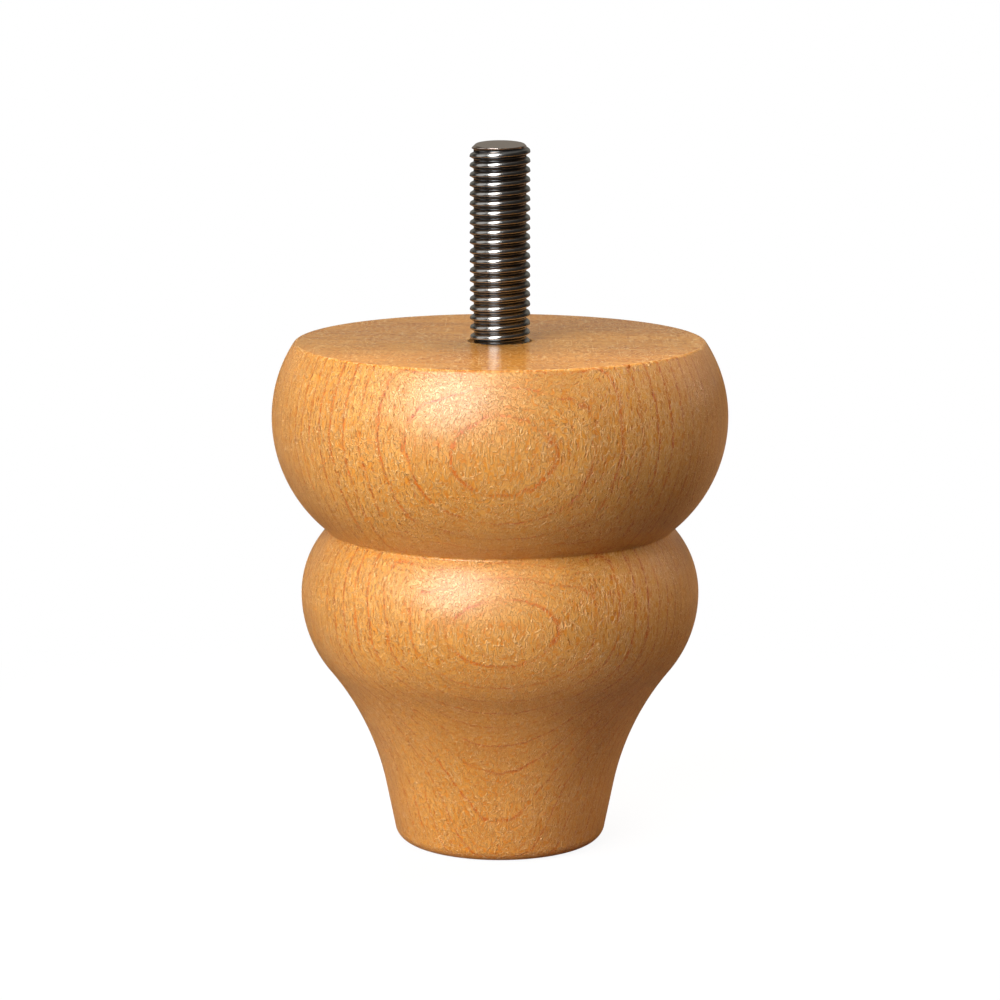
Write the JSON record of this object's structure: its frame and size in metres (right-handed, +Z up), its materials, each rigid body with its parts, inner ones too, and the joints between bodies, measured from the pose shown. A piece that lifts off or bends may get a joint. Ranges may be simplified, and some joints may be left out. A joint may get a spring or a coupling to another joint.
{
  "type": "wooden furniture leg",
  "caption": "Short turned hardwood furniture leg with beaded body, hollow neck and tapered foot, and a threaded steel stud on top.",
  "frame": {"origin": "centre of the foot's flat underside, on the turning axis", "axes": "+Z up the turning axis, out through the free end of the stud; +X and +Y are any two directions across the leg, with the growth layers of the wood facing Y"},
  "size_m": [0.06, 0.06, 0.093],
  "materials": {
    "lacquered_beech": "satin",
    "bare_steel": "satin"
  },
  "bodies": {
    "root": {"turned_leg": "lacquered_beech", "threaded_stud": "bare_steel"}
  },
  "joints": []
}
